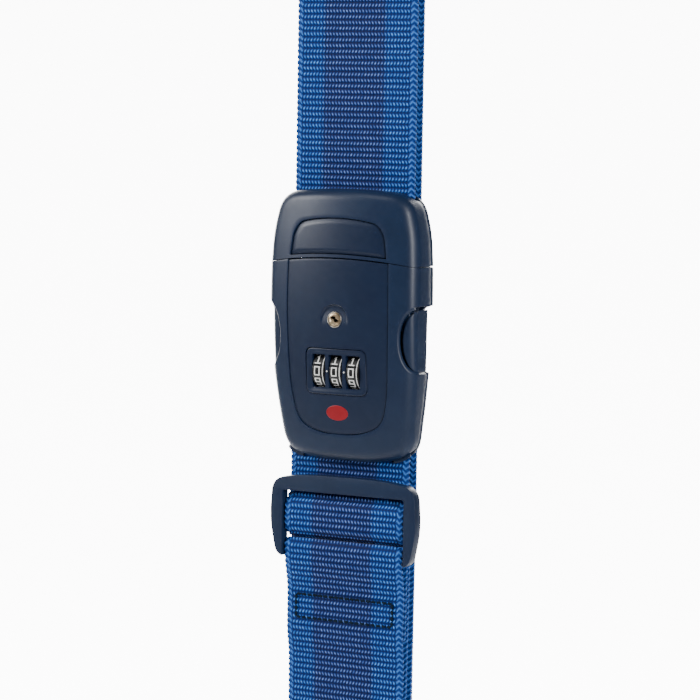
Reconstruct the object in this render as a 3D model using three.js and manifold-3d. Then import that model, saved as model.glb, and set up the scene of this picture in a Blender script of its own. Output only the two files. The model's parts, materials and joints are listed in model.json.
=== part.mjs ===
// A luggage strap: two-tone webbing folded flat in a hank, a side-release buckle with a three-dial
// lock and a key cylinder, and a three-bar slider. Millimetres, +Z up, the front faces -Y.
// The origin is the middle of the lock's flat back face.
import * as THREE from 'three';
import { mergeVertices } from 'three/addons/utils/BufferGeometryUtils.js';
import Module from 'manifold-3d';

const wasm = await Module();
wasm.setup();

// ---- driving dimensions ----
const GAP = 0.3; // clearance between touching pieces
const WEB = { width: 50, thick: 1.6, pitch: 2.0, stagger: 0.554 };
const CASE = { half: 31.2, seam: 30, arch: 2.8, top: 57.6, bottom: -42.4, crown: 18.8, wall: 1, back: 1.6 };
const CROWN = { x: 62, y: 42, z: 110, middle: 20 }; // half axes of the ellipsoid that the face follows
const PANEL = { half: 21, bottom: -32.4, recess: 0.4, thick: 1.6 };
const BADGE = { z: -24.3, halfX: 4.6, halfZ: 2.9 };
const DIAL = { radius: 6.9, width: 4.9, pitch: 7.1, y: -10.3, z: -9, count: 3, bore: 3.4 };
const AXLE = { radius: 1, clearance: 0.3, half: 13.4 };
const BEZEL = { half: 12.6, high: 8.5, window: 5.6, windowHigh: 12.3 };
const CHEEK = { x: 13, half: 0.6, front: -12.2, back: -2.2, floor: 0.8 };
const KEY = { z: 10.2, radius: 2.5, housing: 3.1, front: -18.3, back: -10.2, slotHalf: 1.5 };
const LATCH = { half: 4.5, front: -6.2, back: -4.2, low: 4, high: 8.6 };
const DIAL_SPRING = { half: 1.6, root: -3.4, tip: -7.9, low: 8.6, thick: 0.4, hook: 1.4 };
const LATCH_SPRING = { front: -5.4, back: -5, foot: -4.4, low: 1.7, thick: 0.4 };
const TONGUE = { half: 9, front: -8.9, back: -6.5, low: 0.5, high: 36 };
const ARM = { root: 34.4, y0: -12, y1: -4.6, padBack: -2, side: 30, high: 14.8, sunk: 1.5 };
const RECESS = { x: 31.3, z: 3.4, halfX: 7.2, halfZ: 12.6, rim: 1.4 };
const SCREW = { head: 1.7, headFront: -1.3, headBack: -0.3, shaft: 0.9, tip: -4.4, hole: 2 };
const PLUG_BAR = { y: -6.5, z: 42, radius: 1.6, half: 27 };
const LOCK_BAR = { y: -7.2, z: -31, radius: 1.5, half: 25.2 };
const SLIDER = { half: 30, top: -49.6, bottom: -80, front: -10, back: -5.6, bar: 5.4, side: 4.4 };
const LOW_BAR = { y: -6.5, halfY: 0.9, top: -74.9, bottom: -78.6 };
const MID_BAR = { y: -6.1, halfY: 0.9, top: -60.6, bottom: -64.4 };
const LAYER = { front: -3.9, first: 1.2, loop: -4.4, lower: -5, tail: -2.6, sewnFront: -6.4, sewnBack: -4.5 };
const HANK = { top: 157, bottom: -165, outerBottom: -168, splitTop: 100, splitBottom: -112 };
const STITCH = { half: 21, top: -93.6, bottom: -103.3, thread: 0.5 };
const FAR = 200;

// ---- materials ----
function finish(color, roughness, metalness = 0) {
  return () => new THREE.MeshStandardMaterial({ color, roughness, metalness });
}
const navy = finish(0x24364f, 0.5);
const navySmooth = finish(0x1d2f49, 0.35);
const blueWeb = finish(0x1f5aa8, 0.9);
const thread = finish(0x10182c, 0.9);
const black = finish(0x101114, 0.4);
const steel = finish(0xb5b2ad, 0.3, 1);
const red = finish(0xb4202c, 0.35);

const strap = new THREE.Group();

function add(name, shape, material) {
  const geometry = shape.isBufferGeometry ? shape : toGeometry(shape);
  const mesh = new THREE.Mesh(geometry, material());
  mesh.name = name;
  strap.add(mesh);
  return mesh;
}

// ---- solids ----
function toSolid(geometry) {
  const bare = geometry.clone();
  bare.deleteAttribute('normal');
  bare.deleteAttribute('uv');
  const merged = mergeVertices(bare, 1e-4);
  return new wasm.Manifold(new wasm.Mesh({
    numProp: 3,
    vertProperties: new Float32Array(merged.attributes.position.array),
    triVerts: new Uint32Array(merged.index.array),
  }));
}

function toGeometry(solid) {
  const mesh = solid.getMesh();
  const geometry = new THREE.BufferGeometry();
  geometry.setAttribute('position', new THREE.BufferAttribute(new Float32Array(mesh.vertProperties), 3));
  geometry.setIndex(new THREE.BufferAttribute(new Uint32Array(mesh.triVerts), 1));
  geometry.computeVertexNormals();
  return geometry;
}

function boxGeometry(x0, x1, y0, y1, z0, z1) {
  const box = new THREE.BoxGeometry(x1 - x0, y1 - y0, z1 - z0);
  return box.translate((x0 + x1) / 2, (y0 + y1) / 2, (z0 + z1) / 2);
}
const box = (...sides) => toSolid(boxGeometry(...sides));

// A shape drawn in X and Z, made solid from y0 (front) to y1 (back).
function plate(shape, y0, y1, curveSegments = 8) {
  const body = new THREE.ExtrudeGeometry(shape, { depth: y1 - y0, bevelEnabled: false, curveSegments });
  return toSolid(body.rotateX(Math.PI / 2).translate(0, y1, 0));
}

// A round bar along X, Y or Z.
function rod(axis, radius, from, to, x, y, z, sides = 20) {
  const body = new THREE.CylinderGeometry(radius, radius, to - from, sides);
  body.translate(0, (from + to) / 2, 0);
  if (axis === 'x') body.rotateZ(-Math.PI / 2);
  if (axis === 'z') body.rotateX(Math.PI / 2);
  return toSolid(body.translate(x, y, z));
}

// An outline through corners [x, z, radius].
function outline(corners) {
  const points = corners.map(([x, z]) => new THREE.Vector2(x, z));
  const shape = new THREE.Shape();
  corners.forEach(([, , radius], i) => {
    const here = points[i];
    const before = points[(i + points.length - 1) % points.length];
    const after = points[(i + 1) % points.length];
    const reach = (other) => Math.min(radius, 0.49 * here.distanceTo(other));
    const enter = here.clone().add(before.clone().sub(here).setLength(reach(before)));
    const leave = here.clone().add(after.clone().sub(here).setLength(reach(after)));
    if (i === 0) shape.moveTo(enter.x, enter.y);
    else shape.lineTo(enter.x, enter.y);
    shape.quadraticCurveTo(here.x, here.y, leave.x, leave.y);
  });
  shape.closePath();
  return shape;
}
const mirrored = (half) => [...half, ...half.map(([x, z, r]) => [-x, z, r]).reverse()];

// The crowned block under the face, drawn back by a depth.
function crowned(depth = 0) {
  const ball = new THREE.SphereGeometry(1, 56, 28);
  ball.scale(CROWN.x, CROWN.y, CROWN.z);
  return toSolid(ball.translate(0, CROWN.y - CASE.crown + depth, CROWN.middle));
}

// ---- webbing ----
// A flat strip of webbing along points [y, z]; deeper layers lie a little further to -X.
function webStrip(points) {
  const half = WEB.width / 2;
  const positions = [];
  points.forEach((point, i) => {
    const before = points[Math.max(i - 1, 0)];
    const after = points[Math.min(i + 1, points.length - 1)];
    const along = after.clone().sub(before).normalize();
    const across = new THREE.Vector2(-along.y, along.x).multiplyScalar(WEB.thick / 2);
    const shift = -WEB.stagger * Math.max(point.x - LAYER.first, 0);
    for (const [side, face] of [[-1, 1], [1, 1], [1, -1], [-1, -1]]) {
      positions.push(shift + side * half, point.x + face * across.x, point.y + face * across.y);
    }
  });
  const index = [0, 2, 1, 0, 3, 2];
  const last = 4 * (points.length - 1);
  index.push(last, last + 1, last + 2, last, last + 2, last + 3);
  for (let i = 0; i < points.length - 1; i += 1) {
    for (let j = 0; j < 4; j += 1) {
      const a = 4 * i + j;
      const b = 4 * i + ((j + 1) % 4);
      index.push(a, b, a + 4, b, b + 4, a + 4);
    }
  }
  const geometry = new THREE.BufferGeometry();
  geometry.setAttribute('position', new THREE.Float32BufferAttribute(positions, 3));
  geometry.setIndex(index);
  geometry.computeVertexNormals();
  return geometry;
}

// Points on a half circle between two layers, starting at layer y0.
function fold(y0, y1, z, over, steps = 10) {
  const radius = Math.abs(y1 - y0) / 2;
  const sign = y1 > y0 ? 1 : -1;
  return Array.from({ length: steps + 1 }, (_, i) => {
    const turn = (Math.PI * i) / steps;
    return new THREE.Vector2((y0 + y1) / 2 - sign * radius * Math.cos(turn), z + over * radius * Math.sin(turn));
  });
}
const at = (y, z) => new THREE.Vector2(y, z);
const smooth = (points, steps) => new THREE.SplineCurve(points).getSpacedPoints(steps);
const layerY = (i) => LAYER.first + WEB.pitch * i;

function addWebbing() {
  const eye = LAYER.front - PLUG_BAR.y;
  const upper = [
    at(PLUG_BAR.y - eye, PLUG_BAR.z + 7),
    ...fold(PLUG_BAR.y - eye, LAYER.front, PLUG_BAR.z, -1),
    ...fold(LAYER.front, LAYER.first, HANK.top + 2, 1),
    at(LAYER.first, HANK.splitTop + GAP / 2),
  ];
  add('upper_webbing', webStrip(upper), blueWeb);

  const stored = [
    at(layerY(0), HANK.splitTop - GAP / 2),
    ...fold(layerY(0), layerY(1), HANK.bottom, -1, 6),
    ...fold(layerY(1), layerY(2), HANK.top, 1, 6),
    ...fold(layerY(2), layerY(3), HANK.bottom, -1, 6),
    ...fold(layerY(3), layerY(4), HANK.top, 1, 6),
    at(layerY(4), HANK.splitBottom + GAP / 2),
  ];
  add('stored_webbing', webStrip(stored), blueWeb);

  const wrap = LOW_BAR.halfY + GAP + WEB.thick / 2;
  const lower = [
    at(layerY(4), HANK.splitBottom - GAP / 2),
    ...fold(layerY(4), LAYER.lower, HANK.outerBottom, -1, 16),
    ...smooth([at(LAYER.lower, -122), at(LAYER.lower - 0.2, -116), at(LAYER.sewnFront, -107),
      at(LAYER.sewnFront, -92), at(LOW_BAR.y - wrap + 0.3, -82), at(LOW_BAR.y - wrap, -77)], 24),
    ...fold(LOW_BAR.y - wrap, LOW_BAR.y + wrap, LOW_BAR.top - 0.6, 1, 10),
    at(LAYER.sewnBack, -84),
    at(LAYER.sewnBack, -108),
  ];
  add('main_strap_end', webStrip(lower), blueWeb);

  const loop = smooth([at(LAYER.loop, -19), at(LAYER.loop, -30), at(LAYER.loop, -44), at(LAYER.loop, -52),
    at(-4.5, -55), at(-6.6, -57.6), at(-8.2, -60.2), at(-8.5, -62.4), at(-8.1, -64.8), at(-6.2, -67.4),
    at(-3.8, -70), at(LAYER.tail, -73), at(LAYER.tail, -79), at(LAYER.tail, -110), at(LAYER.tail, -148)], 70);
  add('slider_loop_webbing', webStrip(loop), blueWeb);
}

// The box stitch: one closed thread frame just proud of the main strap.
function addStitching() {
  const y1 = LAYER.sewnFront - WEB.thick / 2 - 0.06;
  const ring = (inset) => outline(mirrored([
    [STITCH.half - inset, STITCH.top - inset, 0.4], [STITCH.half - inset, STITCH.bottom + inset, 0.4],
  ]));
  const frame = plate(ring(0), y1 - STITCH.thread, y1).subtract(plate(ring(1), y1 - 2, y1 + 1));
  add('box_stitching', frame, thread);
}

// ---- the buckle's outlines ----
// The seam between plug and lock arches up towards the middle.
const seamZ = (x) => CASE.seam + CASE.arch * (1 - (x / CASE.half) ** 2);
const seamCorners = (places, offset) => places.map((x) => [x, seamZ(x) + offset, 3]);

const lockOutline = () => outline(mirrored([
  ...seamCorners([4, 12, 19, 25], -GAP / 2),
  [CASE.half - 0.2, CASE.seam - GAP / 2, 0.6],
  [CASE.half, 10, 8],
  [CASE.half - 1.5, -14, 10],
  [26.6, CASE.bottom + 2.8, 7],
  [14, CASE.bottom, 8],
]));
const plugOutline = () => outline(mirrored([
  [10, CASE.top, 8],
  [26.8, CASE.top - 1.6, 8],
  [CASE.half - 0.8, CASE.top - 16, 5],
  [CASE.half - 0.2, CASE.seam + GAP / 2, 0.6],
  ...seamCorners([25, 19, 12, 4], GAP / 2),
]));
const panelOutline = (grow = 0) => outline(mirrored([
  ...seamCorners([4, 12], grow - GAP),
  [PANEL.half + grow, seamZ(PANEL.half) + grow - GAP, 1],
  [PANEL.half + 0.4 + grow, 12, 12],
  [PANEL.half - 0.5 + grow, -16, 8],
  [PANEL.half - 3.2 + grow, PANEL.bottom + 3.8 - grow, 6],
  [8, PANEL.bottom - grow, 8],
]));
const insetOutline = (grow = 0) => outline(mirrored([
  [6, CASE.seam + 17.4 + grow, 6],
  [16.4 + grow, CASE.seam + 15.6 + grow, 3],
  [19.2 + grow, CASE.seam + 11, 2],
  [20.2 + grow, seamZ(20.2) + 1.3 - grow, 0.5],
  ...seamCorners([12, 4], 1.3 - grow),
]));

function ellipse(halfX, halfZ, x, z) {
  return new THREE.Shape().absellipse(x, z, halfX, halfZ, 0, 2 * Math.PI);
}

function bezelOutline(grow = 0) {
  return outline(mirrored([
    [BEZEL.half + grow, DIAL.z + BEZEL.high + grow, 3],
    [BEZEL.half + grow, DIAL.z - BEZEL.high - grow, 3],
  ]));
}

const dialX = (i) => (i - (DIAL.count - 1) / 2) * DIAL.pitch;

const lockScrews = [[-21.5, 22], [-26.9, -18], [21.5, 22], [26.9, -18]];
const plugScrews = [[-27.2, 39], [27.2, 39]];

// ---- lock ----
function addLockCase() {
  const inner = outline(mirrored([
    [CASE.half - 0.1 - CASE.wall, CASE.seam + 6, 0.6],
    [CASE.half - CASE.wall, 10, 6],
    [CASE.half - 1.5 - CASE.wall, -14, 8],
    [25.2, CASE.bottom + 4.6, 6],
    [14, CASE.bottom + 2, 7],
  ]));
  const shell = plate(lockOutline(), -FAR, -CASE.back - GAP).intersect(crowned());
  const hollow = plate(inner, -FAR, 5).intersect(crowned(CASE.wall));
  let cover = shell.subtract(hollow).subtract(plate(panelOutline(GAP), -FAR, -8));
  for (const side of [-1, 1]) {
    cover = cover.subtract(plate(ellipse(RECESS.halfX, RECESS.halfZ, side * RECESS.x, RECESS.z), -FAR, 0));
  }
  const slot = WEB.width / 2 + 1;
  cover = cover.subtract(box(-slot, slot, -5.8, 5, CASE.bottom - 2, CASE.bottom + 12));
  add('lock_front_cover', cover, navy);

  let rear = plate(lockOutline(), -CASE.back, 0);
  for (const [x, z] of lockScrews) rear = rear.subtract(rod('y', SCREW.hole, -3, 1, x, 0, z));
  for (const side of [-1, 1]) {
    rear = rear.subtract(plate(ellipse(RECESS.halfX, RECESS.halfZ, side * RECESS.x, RECESS.z), -FAR, 1));
  }
  add('lock_rear_cover', rear, navy);

  const skin = crowned(PANEL.recess).subtract(crowned(PANEL.recess + PANEL.thick));
  const panel = plate(panelOutline(), -FAR, -8).intersect(skin)
    .subtract(plate(bezelOutline(GAP), -FAR, 5))
    .subtract(rod('y', KEY.housing + GAP, -FAR, 0, 0, 0, KEY.z))
    .subtract(plate(ellipse(BADGE.halfX + GAP, BADGE.halfZ + GAP, 0, BADGE.z), -FAR, 0));
  add('lock_face_panel', panel, navySmooth);
  add('badge_inlay', plate(ellipse(BADGE.halfX, BADGE.halfZ, 0, BADGE.z), -FAR, -8)
    .intersect(crowned(0.2).subtract(crowned(1.6))), red);
}

// Round-headed screws sunk in the rear covers.
function addScrews(name, places) {
  places.forEach(([x, z], i) => {
    const screw = rod('y', SCREW.head, SCREW.headFront, SCREW.headBack, x, 0, z)
      .add(rod('y', SCREW.shaft, SCREW.tip, SCREW.headFront + 0.1, x, 0, z));
    add(`${name}_${i + 1}`, screw, steel);
  });
}

function addDials() {
  let bezel = plate(bezelOutline(), -FAR, -8).intersect(crowned(0.1).subtract(crowned(2.6)));
  for (let i = 0; i < DIAL.count; i += 1) {
    const x = dialX(i);
    const half = BEZEL.window / 2;
    const high = BEZEL.windowHigh / 2;
    bezel = bezel.subtract(box(x - half, x + half, -FAR, 5, DIAL.z - high, DIAL.z + high));
  }
  add('dial_bezel', bezel, black);

  for (let i = 0; i < DIAL.count; i += 1) {
    const wheel = new THREE.LatheGeometry([
      new THREE.Vector2(DIAL.bore, -DIAL.width / 2), new THREE.Vector2(DIAL.radius - 0.3, -DIAL.width / 2),
      new THREE.Vector2(DIAL.radius, -DIAL.width / 2 + 0.3), new THREE.Vector2(DIAL.radius, DIAL.width / 2 - 0.3),
      new THREE.Vector2(DIAL.radius - 0.3, DIAL.width / 2), new THREE.Vector2(DIAL.bore, DIAL.width / 2),
      new THREE.Vector2(DIAL.bore, -DIAL.width / 2),
    ], 40);
    wheel.rotateZ(-Math.PI / 2).translate(dialX(i), DIAL.y, DIAL.z);
    add(`number_dial_${i + 1}`, toSolid(wheel), black);
    addDialSleeve(i);
  }
  add('dial_axle', rod('x', AXLE.radius, -AXLE.half, AXLE.half, 0, DIAL.y, DIAL.z), steel);

  const cheek = (side) => box(side * CHEEK.x - CHEEK.half, side * CHEEK.x + CHEEK.half,
    CHEEK.front, CHEEK.back, DIAL.z - 6, DIAL.z + 6)
    .subtract(rod('x', AXLE.radius + AXLE.clearance, -FAR, FAR, 0, DIAL.y, DIAL.z));
  const reach = CHEEK.x + CHEEK.half;
  const floor = box(-reach, reach, CHEEK.back - CHEEK.floor, CHEEK.back, DIAL.z - 7.6, DIAL.z + 7.6);
  add('dial_carrier', floor.add(cheek(-1)).add(cheek(1)), black);
  addDialSprings();
}

// Inside each dial, a notched sleeve carries its setting to the latch.
function addDialSleeve(i) {
  const half = DIAL.width / 2 - 0.1;
  const sleeve = rod('x', DIAL.bore - GAP, -half, half, dialX(i), DIAL.y, DIAL.z)
    .subtract(rod('x', AXLE.radius + AXLE.clearance, -half - 1, half + 1, dialX(i), DIAL.y, DIAL.z, 16))
    .subtract(box(dialX(i) - 1, dialX(i) + 1, DIAL.y + 2.2, DIAL.y + 4, DIAL.z - 0.8, DIAL.z + 0.8));
  add(`dial_sleeve_${i + 1}`, sleeve, steel);
}

// Each dial has its own leaf spring, which clicks into the ten numbers.
function addDialSprings() {
  for (let i = 0; i < DIAL.count; i += 1) {
    const x = dialX(i);
    const { half, root, tip, low, thick, hook } = DIAL_SPRING;
    const leaf = box(x - half, x + half, tip, root, DIAL.z - low, DIAL.z - low + thick)
      .add(box(x - half, x + half, tip - thick, tip, DIAL.z - low, DIAL.z - low + hook));
    add(`dial_spring_${i + 1}`, leaf, steel);
  }
}

function addKeyLock() {
  const ring = rod('y', KEY.housing, KEY.front + 0.4, KEY.back, 0, 0, KEY.z, 28)
    .subtract(rod('y', KEY.radius + 0.1, -FAR, KEY.back - 1.2, 0, 0, KEY.z, 28));
  add('key_cylinder_housing', ring, steel);
  const keyway = box(-0.45, 0.45, -FAR, KEY.front + 4, KEY.z - KEY.slotHalf, KEY.z + KEY.slotHalf);
  const core = rod('y', KEY.radius, KEY.front, KEY.back - 1.5, 0, 0, KEY.z, 28).subtract(keyway);
  add('key_cylinder', core, steel);
}

// The bolt behind the tongue, with a leaf spring along its lower edge.
function addLatch() {
  add('latch_bolt', box(-LATCH.half, LATCH.half, LATCH.front, LATCH.back, LATCH.low, LATCH.high), steel);
  const { front, back, foot, low, thick } = LATCH_SPRING;
  const leaf = box(-LATCH.half, LATCH.half, front, back, low + thick, LATCH.low - GAP)
    .add(box(-LATCH.half, LATCH.half, front, foot, low, low + thick));
  add('latch_spring', leaf, steel);
}

function addLockBar() {
  add('lock_web_bar', rod('x', LOCK_BAR.radius, -LOCK_BAR.half, LOCK_BAR.half, 0, LOCK_BAR.y, LOCK_BAR.z), steel);
}

// ---- plug ----
function addPlug() {
  const inner = outline(mirrored([
    [10, CASE.top - 1.8, 6],
    [25.2, CASE.top - 3.4, 6],
    [CASE.half - 2.8, CASE.top - 16, 5],
    [CASE.half - 2.4, CASE.seam + 3, 0.6],
  ]));
  const slot = WEB.width / 2 + 1;
  const cover = plate(plugOutline(), -FAR, -CASE.back - GAP).intersect(crowned())
    .subtract(plate(inner, -FAR, 5).intersect(crowned(2.6)))
    .subtract(box(-CASE.half + 3, CASE.half - 3, -12.4, 5, CASE.seam - 1, CASE.seam + 6))
    .subtract(plate(insetOutline(GAP), -FAR, -8).subtract(crowned(1.9)))
    .subtract(box(-slot, slot, -5.2, 5, CASE.top - 12, CASE.top + 5));
  add('plug_front_cover', cover, navy);
  add('plug_inset_plate', plate(insetOutline(), -FAR, -8)
    .intersect(crowned(0.5).subtract(crowned(1.6))), navySmooth);

  let rear = plate(plugOutline(), -CASE.back, 0);
  for (const [x, z] of plugScrews) rear = rear.subtract(rod('y', SCREW.hole, -3, 1, x, 0, z));
  add('plug_rear_cover', rear, navy);
  add('plug_web_bar', rod('x', PLUG_BAR.radius, -PLUG_BAR.half, PLUG_BAR.half, 0, PLUG_BAR.y, PLUG_BAR.z), steel);
  const catchHole = box(-LATCH.half - 0.5, LATCH.half + 0.5, -FAR, 0, LATCH.low - 0.5, LATCH.high + 0.4);
  add('plug_tongue', box(-TONGUE.half, TONGUE.half, TONGUE.front, TONGUE.back, TONGUE.low, TONGUE.high).subtract(catchHole), navy);
}

// The release arms: a leg from the plug with a finger pad that fills the lock's side recess.
function addArms() {
  for (const [name, side] of [['left', -1], ['right', 1]]) {
    const leg = outline([
      [side * 21.5, ARM.root, 0.5], [side * 27.4, ARM.root, 0.5], [side * 28, 6, 2], [side * 25.5, -2, 1],
    ]);
    const halfX = RECESS.halfX - RECESS.rim;
    const pad = plate(ellipse(halfX, RECESS.halfZ - 1.1, side * RECESS.x, RECESS.z - 0.5), -FAR, ARM.padBack)
      .intersect(crowned(ARM.sunk))
      .intersect(box(-ARM.side, ARM.side, -FAR, 5, -20, ARM.high));
    add(`release_arm_${name}`, pad.add(plate(leg, ARM.y0, ARM.y1)), navy);
  }
}

// ---- slider ----
function addSlider() {
  const frameOutline = outline(mirrored([
    [17, SLIDER.top + 0.9, 12],
    [SLIDER.half - 0.2, SLIDER.top - 1.2, 5],
    [SLIDER.half + 0.9, -66, 6],
    [SLIDER.half - 2, SLIDER.bottom, 4],
  ]));
  const opening = outline(mirrored([
    [SLIDER.half - SLIDER.side, SLIDER.top - SLIDER.bar, 1],
    [SLIDER.half - SLIDER.side, SLIDER.bottom - 3, 0.5],
  ]));
  const ring = plate(frameOutline, SLIDER.front, SLIDER.back).subtract(plate(opening, -FAR, 5));
  const reach = SLIDER.half - SLIDER.side + 1;
  const middle = box(-reach, reach, MID_BAR.y - MID_BAR.halfY, MID_BAR.y + MID_BAR.halfY, MID_BAR.bottom, MID_BAR.top);
  const low = box(-reach, reach, LOW_BAR.y - LOW_BAR.halfY, LOW_BAR.y + LOW_BAR.halfY, LOW_BAR.bottom, LOW_BAR.top);
  add('slider_frame', ring.add(middle).add(low), navy);
}

addLockCase();
addScrews('lock_screw', lockScrews);
addDials();
addKeyLock();
addLatch();
addLockBar();
addPlug();
addScrews('plug_screw', plugScrews);
addArms();
addSlider();
addWebbing();
addStitching();

export default strap;
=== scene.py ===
"""A blue luggage strap with a number-dial buckle: its looks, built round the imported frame. Metres, +Z up."""
import json
import math

import bmesh
import bpy
import numpy as np
from mathutils import Matrix, Vector

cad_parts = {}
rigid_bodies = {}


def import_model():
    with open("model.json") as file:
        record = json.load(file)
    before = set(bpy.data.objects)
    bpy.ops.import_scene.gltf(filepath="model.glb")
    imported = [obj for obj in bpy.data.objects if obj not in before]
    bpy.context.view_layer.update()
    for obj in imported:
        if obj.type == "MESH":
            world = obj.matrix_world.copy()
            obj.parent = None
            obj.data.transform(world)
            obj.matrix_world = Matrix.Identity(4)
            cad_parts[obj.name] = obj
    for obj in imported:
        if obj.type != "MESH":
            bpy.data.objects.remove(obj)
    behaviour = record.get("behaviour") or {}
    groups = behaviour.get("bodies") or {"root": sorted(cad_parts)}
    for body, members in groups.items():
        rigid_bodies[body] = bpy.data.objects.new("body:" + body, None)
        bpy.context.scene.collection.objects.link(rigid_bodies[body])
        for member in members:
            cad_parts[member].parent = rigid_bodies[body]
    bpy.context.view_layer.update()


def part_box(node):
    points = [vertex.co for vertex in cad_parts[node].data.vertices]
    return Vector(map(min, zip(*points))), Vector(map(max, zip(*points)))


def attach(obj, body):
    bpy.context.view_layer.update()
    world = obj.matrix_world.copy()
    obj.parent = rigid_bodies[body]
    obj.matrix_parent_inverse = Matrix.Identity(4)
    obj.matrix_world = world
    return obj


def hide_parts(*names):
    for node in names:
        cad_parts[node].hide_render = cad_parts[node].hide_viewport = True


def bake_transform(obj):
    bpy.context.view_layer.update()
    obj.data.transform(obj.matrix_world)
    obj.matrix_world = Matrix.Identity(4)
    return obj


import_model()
MM = 0.001

# ---- the frame's places, in millimetres ----
HALF = 31.2  # the case's half width
SEAM_HALF = 31.0  # the same at the seam between plug and lock
SEAM, ARCH = 30.0, 2.8  # the seam's height at the sides, and how far it arches up in the middle
GAP = 0.03  # half of the seam's gap at the sides
TOP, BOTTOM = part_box("plug_front_cover")[1][2] / MM, -42.4
CROWN_FRONT, CROWN_X, CROWN_Y, CROWN_Z, CROWN_MID = -18.8, 62.0, 42.0, 110.0, 20.0
BACK = -1.9  # where the front covers meet the rear covers
FAR_FRONT = -40.0  # in front of everything, where cutters start
PANEL_HALF, PANEL_BOTTOM = 21.0, -32.4
DIAL_Y, DIAL_Z, DIAL_R, DIAL_PITCH, DIAL_W, DIAL_BORE = -10.3, -9.0, 6.9, 7.1, 4.9, 3.4
BEZEL_HALF, BEZEL_HIGH, WINDOW_HALF, WINDOW_HIGH = 12.6, 8.5, 2.8, 6.15
KEY_Z, KEY_R, KEY_RING = 10.2, 2.5, 3.1
KEYWAY_SIZE, KEYWAY_END = 1.05, -14.0  # a factor on the keyway's outline, and how deep it goes
RECESS_X, RECESS_Z, RECESS_A, RECESS_B = 31.3, 3.4, 7.2, 12.6
LIP_END, PAD_END, PAD_TOP = 29.9, 30.0, 14.8  # where a recess's rim and a finger pad stop
WEB_W, WEB_T, PITCH, STAGGER = 50.0, 1.6, 2.0, 0.554
FIRST, FRONT, LOOP_Y, LOWER, TAIL, SEWN_FRONT, SEWN_BACK = 1.2, -3.9, -4.4, -5.0, -2.6, -6.4, -4.5
RIB = 2.1  # one cross rib of the weave
DASH = 1.35  # one slanted yarn of a rib
STRIPE_OFF, STRIPE_IN, STRIPE_OUT = 0.75, 11.6, 14.0  # the dark stripe's shift to the left, its soft edge
SELVEDGE = 22.9  # where the chained edge begins, from the middle


def crown(x, z):
    """The face's y at a place, in millimetres: the front of an ellipsoid."""
    inside = 1 - (x / CROWN_X) ** 2 - ((z - CROWN_MID) / CROWN_Z) ** 2
    return CROWN_FRONT + CROWN_Y * (1 - math.sqrt(max(inside, 0.05)))


def seam_z(x):
    return SEAM + ARCH * (1 - (x / HALF) ** 2)


def smoothstep(low, high, value):
    t = min(max((value - low) / (high - low), 0), 1)
    return t * t * (3 - 2 * t)


# ---- materials ----
class Nodes:
    """A material's node tree, with short ways to add nodes, set their values and link them."""

    def __init__(self, name, color, roughness, metallic=0.0, **more):
        self.material = bpy.data.materials.new(name)
        self.material.use_nodes = True
        self.tree = self.material.node_tree
        self.shader = self.tree.nodes["Principled BSDF"]
        self.set(self.shader, "Base Color", (*color, 1))
        self.set(self.shader, "Roughness", roughness)
        self.set(self.shader, "Metallic", metallic)
        for key, value in more.items():
            self.set(self.shader, key.replace("_", " "), value)

    def set(self, node, socket, value):
        node.inputs[socket].default_value = value

    def link(self, source, node, socket):
        self.tree.links.new(source, node.inputs[socket])

    def node(self, kind, **settings):
        made = self.tree.nodes.new("ShaderNode" + kind)
        for key, value in settings.items():
            setattr(made, key, value)
        return made

    def math(self, operation, a, b=None, c=None, clamp=False):
        made = self.node("Math", operation=operation, use_clamp=clamp)
        for i, value in enumerate((a, b, c)):
            if value is None:
                continue
            if isinstance(value, (int, float)):
                made.inputs[i].default_value = value
            else:
                self.tree.links.new(value, made.inputs[i])
        return made.outputs[0]

    def ramp(self, value, *stops):
        made = self.node("ValToRGB")
        ramp = made.color_ramp
        while len(ramp.elements) < len(stops):
            ramp.elements.new(0.5)
        for element, (place, color) in zip(ramp.elements, stops):
            element.position = place
            element.color = (*color, 1)
        self.link(value, made, "Fac")
        return made.outputs["Color"]

    def mix(self, factor, a, b):
        made = self.node("Mix", data_type="RGBA")
        for socket, value in ((0, factor), (6, a), (7, b)):
            if isinstance(value, (int, float)):
                made.inputs[socket].default_value = value
            elif isinstance(value, tuple):
                made.inputs[socket].default_value = (*value, 1)
            else:
                self.tree.links.new(value, made.inputs[socket])
        return made.outputs[2]

    def noise(self, scale, detail, roughness=0.5):
        made = self.node("TexNoise")
        self.set(made, "Scale", scale)
        self.set(made, "Detail", detail)
        self.set(made, "Roughness", roughness)
        self.link(self.node("TexCoord").outputs["Object"], made, "Vector")
        return made.outputs["Fac"]

    def bump(self, height, distance, strength):
        made = self.node("Bump")
        self.set(made, "Strength", strength)
        self.set(made, "Distance", distance)
        self.link(height, made, "Height")
        return made.outputs["Normal"]

    def finish_normal(self, normal):
        self.link(normal, self.shader, "Normal")
        return self.material


def moulded(name, dark, light, roughness, grain, fineness=2600):
    """Moulded nylon: a spark-eroded grain, faint cloudiness and roughness that varies a little."""
    n = Nodes(name, dark, roughness, Specular_IOR_Level=0.32)
    cloud = n.noise(90, 4)
    fine = n.noise(fineness, 2, 0.6)
    n.link(n.ramp(cloud, (0.35, dark), (0.7, light)), n.shader, "Base Color")
    rough = n.math("MULTIPLY_ADD", n.noise(500, 3), 0.14, roughness - 0.07)
    n.link(rough, n.shader, "Roughness")
    return n.finish_normal(n.bump(fine, grain * MM, 0.35))


def metal(name, color, roughness):
    n = Nodes(name, color, roughness, metallic=1.0)
    streak = n.noise(900, 5, 0.7)
    n.link(n.math("MULTIPLY_ADD", streak, 0.2, roughness - 0.08), n.shader, "Roughness")
    return n.finish_normal(n.bump(streak, 0.02 * MM, 0.3))


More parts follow.
